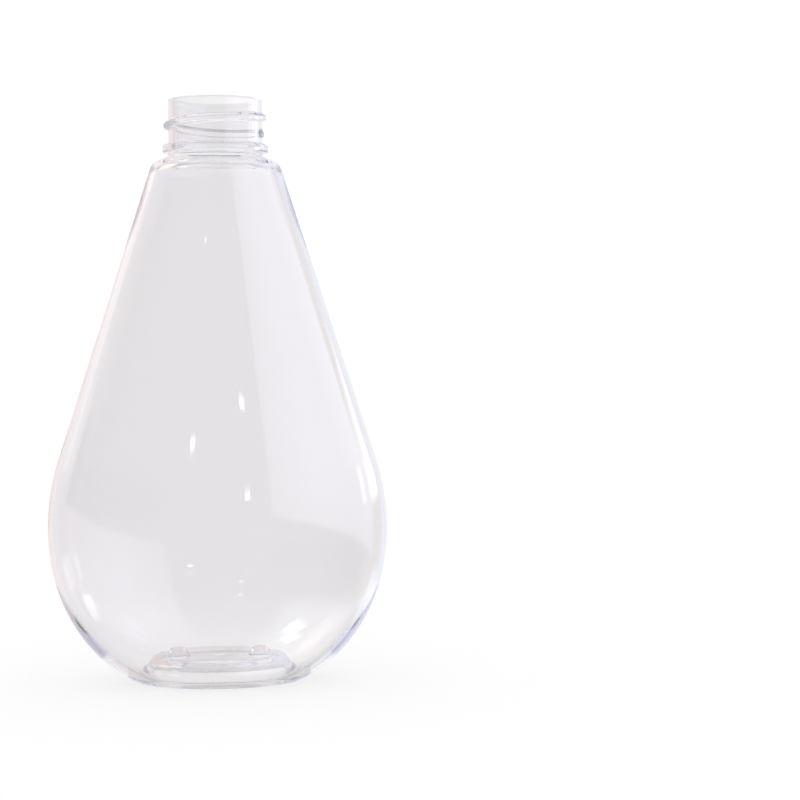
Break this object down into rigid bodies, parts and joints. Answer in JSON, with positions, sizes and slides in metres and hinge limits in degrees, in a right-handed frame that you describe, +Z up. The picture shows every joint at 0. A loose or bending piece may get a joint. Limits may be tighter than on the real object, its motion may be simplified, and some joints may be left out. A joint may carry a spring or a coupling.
{
  "type": "teardrop bottle",
  "caption": "Clear plastic teardrop bottle of oval section with a pushed-up base, an empty inside and an open, externally threaded neck that takes a screw-on pump or cap.",
  "frame": {"origin": "middle of the standing ring, in the plane that the bottle rests on", "axes": "+Z up along the neck, X across the width, Y through the depth with the front facing -Y"},
  "size_m": [0.0904, 0.0624, 0.155],
  "materials": {
    "clear_plastic": "clear, glossy, moulded PET"
  },
  "bodies": {
    "root": {"bottle": "clear_plastic"}
  },
  "joints": []
}
